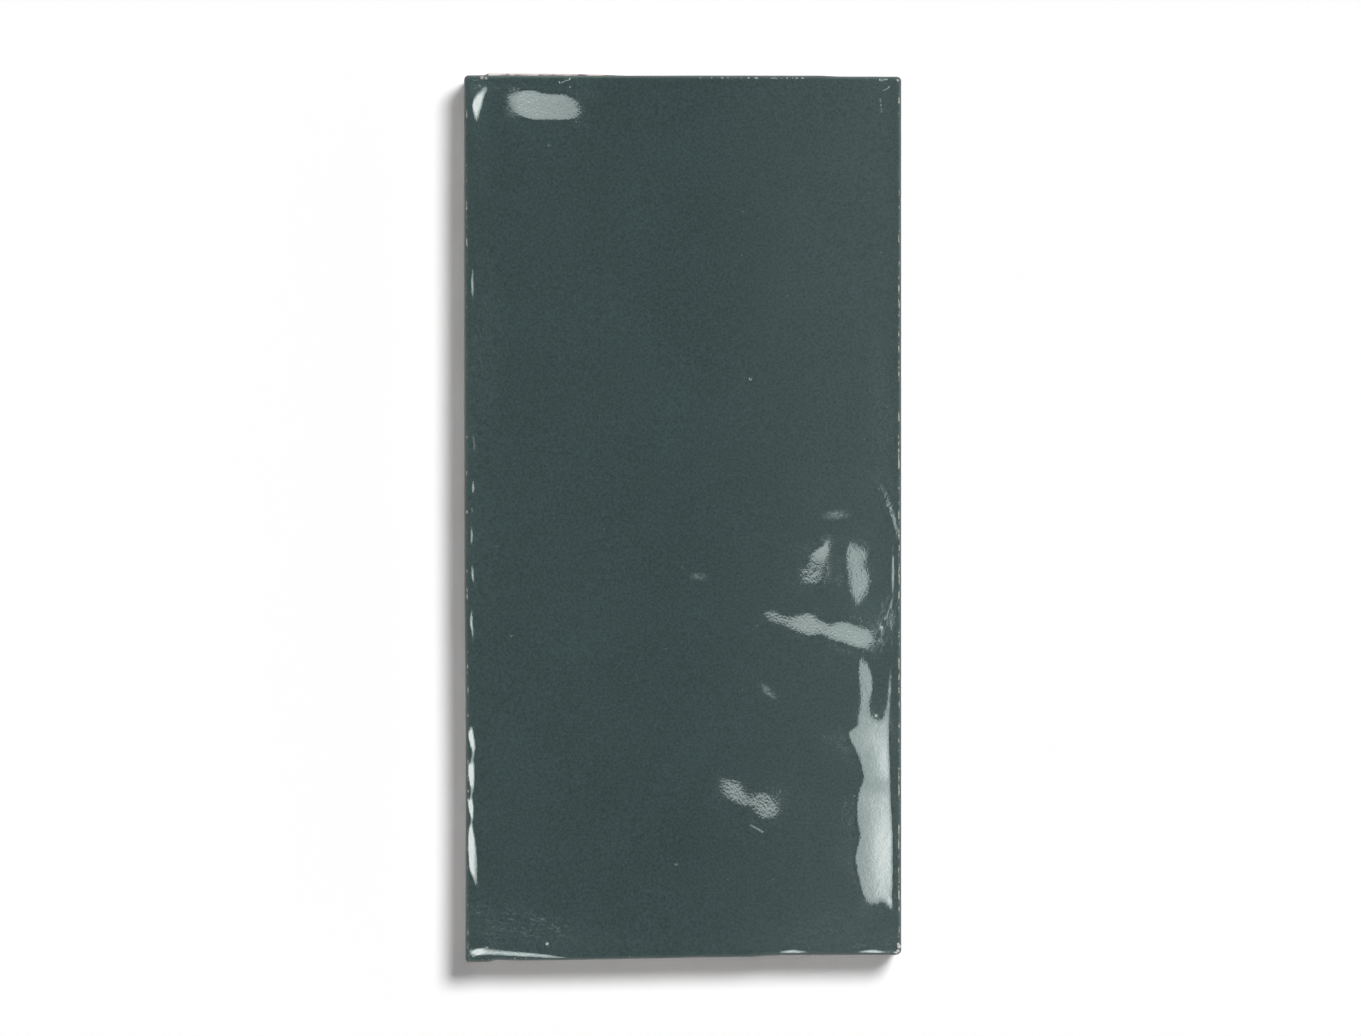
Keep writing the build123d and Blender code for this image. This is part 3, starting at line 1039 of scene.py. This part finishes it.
PANEL_HALF_WIDTH = 3.6
PANEL_DIM = 6.2
PANEL_BRIGHT = 16.0
PANEL_RISE_DEG = (12.0, 21.0)
PANEL_DIM_TINT = (0.87, 1.0, 0.97, 1.0)
PANEL_BRIGHT_TINT = (0.94, 1.0, 0.97, 1.0)
KEY_TOWARD = (3.9, 4.3, 9.0)
KEY_ANGLE_DEG = 20.0
KEY_SHARE = 0.8
TOP_LIGHT_SHARE = 0.095
TOP_LIGHT_ANGLE_DEG = 40.0
WORLD_ZENITH = 0.12
WORLD_HORIZON = 0.7
WORLD_RISE = (0.1, 0.5)
FLOOR_HALF = 4.0
SENSOR_WIDTH = 36.0


def flat_object(name, half_x, half_y, material):
    """A rectangle in the plane, round its own origin."""
    mesh = bpy.data.meshes.new(name)
    corners = [(-half_x, -half_y, 0), (half_x, -half_y, 0), (half_x, half_y, 0), (-half_x, half_y, 0)]
    mesh.from_pydata(corners, [], [(0, 1, 2, 3)])
    mesh.materials.append(material)
    flat = new_object(name, mesh)
    return flat


def panel_reach(degrees):
    """How far off the axis, in metres, a panel shows at an angle off the vertical."""
    return PANEL_HEIGHT * math.tan(math.radians(degrees))


def panel_material(middle):
    """Light that is dim at the panel's near end and rises away from it."""
    material = bpy.data.materials.new("panel_light")
    n = Nodes(material)
    place = n.add("ShaderNodeTexCoord").outputs["Object"]
    along = n.add("ShaderNodeSeparateXYZ", Vector=place).outputs[0]
    rise_start, rise_end = (panel_reach(degrees) - middle for degrees in PANEL_RISE_DEG)
    rise = n.ramp(along, rise_start, rise_end)
    strength = n.times(rise, PANEL_BRIGHT - PANEL_DIM, PANEL_DIM)
    tint = n.blend(rise, PANEL_DIM_TINT, PANEL_BRIGHT_TINT)
    light = n.add("ShaderNodeEmission", Color=tint, Strength=strength)
    n.add("ShaderNodeOutputMaterial", Surface=light.outputs[0])
    return material


def light_panel(name, turn_deg):
    """A soft panel overhead, to one side, that only the glaze's reflections show."""
    near = panel_reach(PANEL_NEAR_DEG)
    far = panel_reach(PANEL_FAR_DEG)
    middle = (near + far) / 2
    panel = flat_object(name, (far - near) / 2, PANEL_HALF_WIDTH, panel_material(middle))
    turn = math.radians(turn_deg)
    panel.location = (middle * math.cos(turn), middle * math.sin(turn), PANEL_HEIGHT)
    panel.rotation_euler = (0, 0, turn)
    for kind in ("camera", "diffuse", "shadow", "transmission", "volume_scatter"):
        setattr(panel, "visible_" + kind, False)


def sun(name, toward, share, angle_deg, in_gloss):
    """A distant soft lamp that gives the floor its share of the light."""
    direction = Vector(toward).normalized()
    lamp = bpy.data.lights.new(name, "SUN")
    lamp.energy = math.pi * share / direction.z
    lamp.angle = math.radians(angle_deg)
    placed = new_object(name, lamp)
    placed.rotation_euler = direction.to_track_quat("Z", "Y").to_euler()
    placed.visible_glossy = in_gloss


def studio():
    """Floor, lamps and surroundings."""
    flat_object("floor", FLOOR_HALF, FLOOR_HALF, floor_material())
    light_panel("panel_east", 0)
    light_panel("panel_south", -90)
    light_panel("panel_west", 180)
    sun("key", KEY_TOWARD, KEY_SHARE, KEY_ANGLE_DEG, True)
    sun("top_light", (0, 0, 1), TOP_LIGHT_SHARE, TOP_LIGHT_ANGLE_DEG, False)
    world = bpy.data.worlds.new("surroundings")
    bpy.context.scene.world = world
    n = Nodes(world)
    direction = n.add("ShaderNodeTexCoord").outputs["Generated"]
    height = n.add("ShaderNodeSeparateXYZ", Vector=direction).outputs[2]
    strength = n.ramp(height, *WORLD_RISE, WORLD_HORIZON, WORLD_ZENITH)
    background = n.add("ShaderNodeBackground", Color=(1, 1, 1, 1), Strength=strength)
    n.add("ShaderNodeOutputWorld", Surface=background.outputs[0])


def camera():
    """The camera, straight above, with the tile where the photograph has it."""
    data = bpy.data.cameras.new("camera")
    data.sensor_fit = "HORIZONTAL"
    data.sensor_width = SENSOR_WIDTH
    view_width = PHOTO_WIDTH_PX / PX_PER_MM * MM
    data.lens = SENSOR_WIDTH * CAMERA_DISTANCE / view_width
    placed = new_object("camera", data)
    x, y = spot((PHOTO_WIDTH_PX - 1) / 2, (PHOTO_HEIGHT_PX - 1) / 2)
    placed.location = (x * MM, y * MM, CAMERA_DISTANCE + CROWN * MM)
    bpy.context.scene.camera = placed


studio()
camera()
tile = build_tile()
tile.data.materials.append(glaze_material())
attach(tile, "root")
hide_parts(NODE)

bpy.context.scene.view_settings.view_transform = "Standard"
